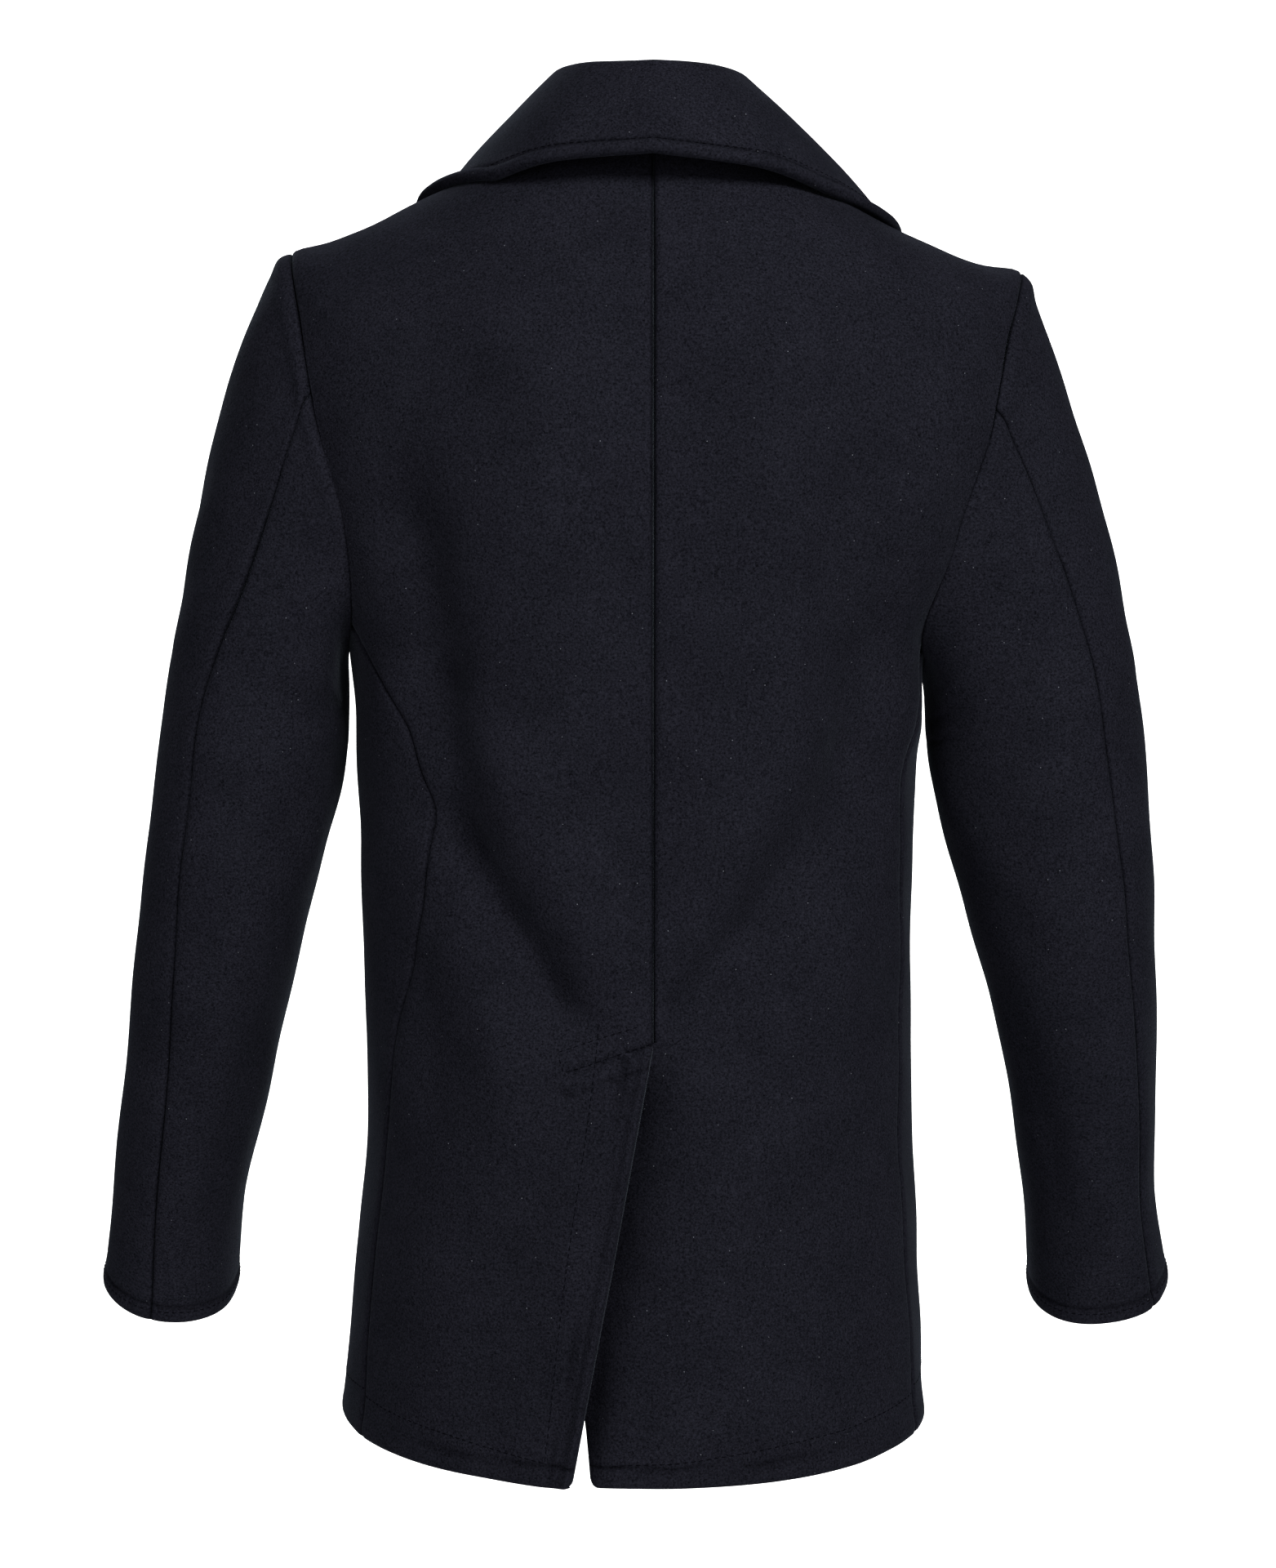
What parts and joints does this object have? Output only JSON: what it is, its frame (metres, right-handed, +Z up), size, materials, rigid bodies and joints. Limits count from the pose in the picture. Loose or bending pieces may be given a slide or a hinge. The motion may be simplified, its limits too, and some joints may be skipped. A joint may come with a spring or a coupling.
{
  "type": "pea coat",
  "caption": "Worn, hollow double-breasted wool pea coat with folded collar, lapels, two-piece sleeves, slant pocket welts and a centre-back vent.",
  "frame": {"origin": "between the shoulders, in the middle of the neck opening at the height of the neck seam, where the wearer holds the coat up", "axes": "+Z up, +Y out of the back, -Y out of the front, +X towards the wearer's left"},
  "size_m": [0.6771, 0.3091, 0.8266],
  "materials": {
    "wool_melton": "matte, felted navy-black wool melton with a short fuzzy nap",
    "button": "dark, dull-polished four-hole buttons"
  },
  "bodies": {
    "root": {"back_left": "wool_melton", "front_left": "wool_melton", "sleeve_upper_left": "wool_melton", "sleeve_under_left": "wool_melton", "lapel_left": "wool_melton", "pocket_welt_left": "wool_melton", "button_left_1": "button", "button_left_2": "button", "button_left_3": "button", "back_right": "wool_melton", "front_right": "wool_melton", "sleeve_upper_right": "wool_melton", "sleeve_under_right": "wool_melton", "lapel_right": "wool_melton", "pocket_welt_right": "wool_melton", "button_right_1": "button", "button_right_2": "button", "button_right_3": "button", "collar": "wool_melton"}
  },
  "joints": []
}
